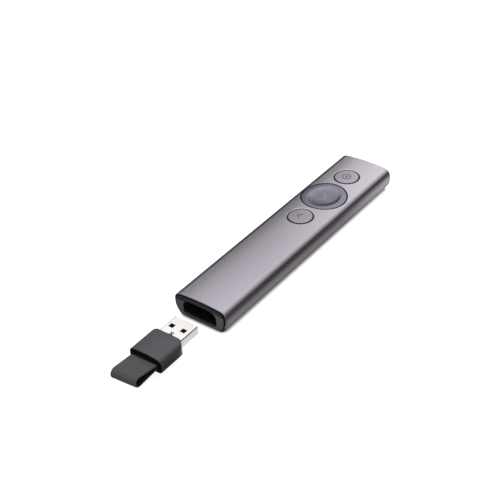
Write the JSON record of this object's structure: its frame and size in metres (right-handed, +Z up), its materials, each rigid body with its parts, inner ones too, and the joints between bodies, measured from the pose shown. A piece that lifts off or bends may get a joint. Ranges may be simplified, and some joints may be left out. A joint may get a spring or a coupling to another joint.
{
  "type": "wireless presentation clicker",
  "caption": "Slim crowned metal tube with round push buttons on top, one large and dished, and a short receiver with a rectangular plug and pull strap that stows in the mouth at its end.",
  "frame": {"origin": "middle of the flat underside that the clicker rests on, halfway along the tube", "axes": "+X to the right with the mouth towards the viewer, +Y along the tube from the receiver's mouth to the tail, +Z up out of the buttons"},
  "size_m": [0.0282, 0.1792, 0.0121],
  "materials": {
    "anodised_shell": "satin anodised, violet grey",
    "button_finish": "satin, metal-coloured",
    "dish_finish": "satin, metal-coloured, a shade darker",
    "cap_plastic": "matte",
    "bay_plastic": "matte black",
    "chassis_plastic": "matte",
    "switch_plunger": "matte",
    "switch_base": "satin",
    "stamped_steel": "satin",
    "tongue_plastic": "matte",
    "circuit_board": "solder mask",
    "screw_steel": "zinc plated",
    "chip_resin": "matte",
    "aerial_ceramic": "ceramic",
    "battery_foil": "matt foil",
    "foam_pad": "soft foam tape",
    "nickel_tab": "nickel strip",
    "motor_can": "satin",
    "soft_rubber": "matte",
    "weight_metal": "sintered",
    "plug_nickel": "bright nickel",
    "contact_gold": "gold plated",
    "receiver_plastic": "fine matte",
    "receiver_inner": "matte black",
    "strap_rubber": "matte silicone-coated weave"
  },
  "bodies": {
    "handset": {"body_shell": "anodised_shell", "bay_end_cap": "cap_plastic", "tail_end_cap": "cap_plastic", "receiver_bay": "bay_plastic", "chassis": "chassis_plastic", "back_switch": "switch_base", "next_switch": "switch_base", "pointer_switch": "switch_base", "usb_c_shell": "stamped_steel", "usb_c_tongue": "tongue_plastic", "main_board": "circuit_board", "board_screws": "screw_steel", "controller_chip": "chip_resin", "charger_chip": "chip_resin", "motion_sensor": "chip_resin", "chip_antenna": "aerial_ceramic", "radio_shield": "stamped_steel", "battery": "battery_foil", "battery_pad": "foam_pad", "battery_tabs": "nickel_tab", "vibration_motor": "motor_can", "motor_boot": "soft_rubber"},
    "back_button": {"back_button": "button_finish", "back_plunger": "switch_plunger"},
    "next_button": {"next_button": "dish_finish", "next_plunger": "switch_plunger"},
    "pointer_button": {"pointer_button": "button_finish", "pointer_plunger": "switch_plunger"},
    "motor_rotor": {"eccentric_weight": "weight_metal", "motor_shaft": "screw_steel"},
    "receiver": {"plug_shell": "plug_nickel", "plug_tongue": "tongue_plastic", "plug_contacts": "contact_gold", "receiver_case": "receiver_plastic", "strap_anchor": "receiver_inner", "receiver_board": "circuit_board", "receiver_chip": "chip_resin", "pull_strap": "strap_rubber"}
  },
  "joints": [
    {"name": "back_press", "type": "slide", "parent": "handset", "child": "back_button", "axis": [0, 0, -1], "range_m": [0, 0.0003], "stiffness_N_per_m": 3000, "springref_m": -0.0002},
    {"name": "next_press", "type": "slide", "parent": "handset", "child": "next_button", "axis": [0, 0, -1], "range_m": [0, 0.0003], "stiffness_N_per_m": 3000, "springref_m": -0.0002},
    {"name": "pointer_press", "type": "slide", "parent": "handset", "child": "pointer_button", "axis": [0, 0, -1], "range_m": [0, 0.0003], "stiffness_N_per_m": 3000, "springref_m": -0.0002},
    {"name": "receiver_slide", "type": "slide", "parent": "handset", "child": "receiver", "axis": [0, 1, 0], "range_m": [0, 0.0341]},
    {"name": "rotor_spin", "type": "hinge", "parent": "handset", "child": "motor_rotor", "pos_m": [0, 0.0236, 0.00454], "axis": [0, 1, 0], "continuous": true}
  ]
}
